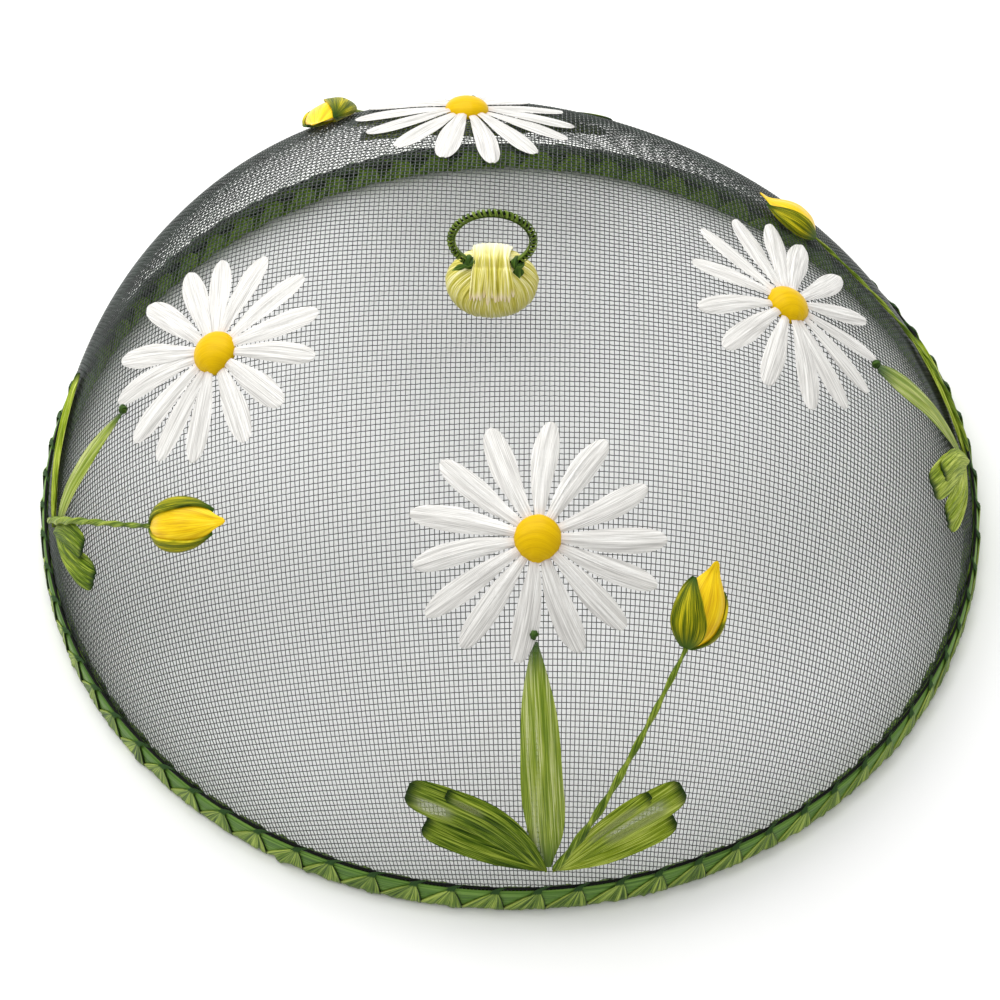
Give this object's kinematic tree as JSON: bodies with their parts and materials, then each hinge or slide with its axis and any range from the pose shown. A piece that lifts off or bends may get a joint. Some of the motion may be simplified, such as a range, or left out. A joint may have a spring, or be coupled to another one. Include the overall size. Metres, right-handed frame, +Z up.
{
  "type": "food cover",
  "caption": "Domed wire-mesh food cover on a raffia-lashed rim, with raffia daisies and buds on it and a swinging ring handle on a knob at the crown.",
  "frame": {"origin": "centre of the rim's underside, on the surface that the cover rests on", "axes": "+Z up through the crown, -Y towards the front daisy, +X to the right"},
  "size_m": [0.356, 0.356, 0.17],
  "materials": {
    "net_wire": "fine woven iron wire screen with dark grey-green paint",
    "black_wire": "black enamelled wire",
    "light_raffia": "smooth light green plant-fibre strip",
    "green_raffia": "dyed green raffia, fibrous, with a soft sheen",
    "dark_raffia": "dyed dark green raffia",
    "white_raffia": "bleached white raffia, fibrous and slightly see-through",
    "yellow_raffia": "dyed yellow raffia, smooth with a sheen",
    "lime_raffia": "pale lime raffia strands with a satin sheen"
  },
  "bodies": {
    "cover": {"mesh_dome": "net_wire", "outer_hoop": "light_raffia", "inner_hoop": "dark_raffia", "edge_wire": "black_wire", "rim_lashing": "green_raffia", "knob_body": "lime_raffia", "knob_strap": "lime_raffia", "knob_tie": "lime_raffia", "front_petals": "white_raffia", "front_flower_centre": "yellow_raffia", "front_tall_leaf": "green_raffia", "front_upper_leaf_left": "green_raffia", "front_upper_leaf_right": "green_raffia", "front_lower_leaf_left": "green_raffia", "front_lower_leaf_right": "green_raffia", "front_bud_stem": "green_raffia", "front_bud_core": "yellow_raffia", "front_bud_sepal_wide": "green_raffia", "front_bud_sepal_narrow": "green_raffia", "left_petals": "white_raffia", "left_flower_centre": "yellow_raffia", "left_tall_leaf": "green_raffia", "left_upper_leaf_left": "green_raffia", "left_upper_leaf_right": "green_raffia", "left_lower_leaf_left": "green_raffia", "left_lower_leaf_right": "green_raffia", "left_bud_stem": "green_raffia", "left_bud_core": "yellow_raffia", "left_bud_sepal_wide": "green_raffia", "left_bud_sepal_narrow": "green_raffia", "right_petals": "white_raffia", "right_flower_centre": "yellow_raffia", "right_tall_leaf": "green_raffia", "right_upper_leaf_left": "green_raffia", "right_upper_leaf_right": "green_raffia", "right_lower_leaf_left": "green_raffia", "right_lower_leaf_right": "green_raffia", "right_bud_stem": "green_raffia", "right_bud_core": "yellow_raffia", "right_bud_sepal_wide": "green_raffia", "right_bud_sepal_narrow": "green_raffia", "back_petals": "white_raffia", "back_flower_centre": "yellow_raffia", "back_tall_leaf": "green_raffia", "back_upper_leaf_left": "green_raffia", "back_upper_leaf_right": "green_raffia", "back_lower_leaf_left": "green_raffia", "back_lower_leaf_right": "green_raffia", "back_bud_stem": "green_raffia", "back_bud_core": "yellow_raffia", "back_bud_sepal_wide": "green_raffia", "back_bud_sepal_narrow": "green_raffia"},
    "handle": {"handle_ring": "black_wire", "handle_winding": "green_raffia", "handle_knot_left": "dark_raffia", "handle_knot_right": "dark_raffia"}
  },
  "joints": [
    {"name": "handle_swing", "type": "hinge", "parent": "cover", "child": "handle", "pos_m": [-0.008, 0, 0.14265], "axis": [1, 0, 0], "range_deg": [-90, 90]}
  ]
}
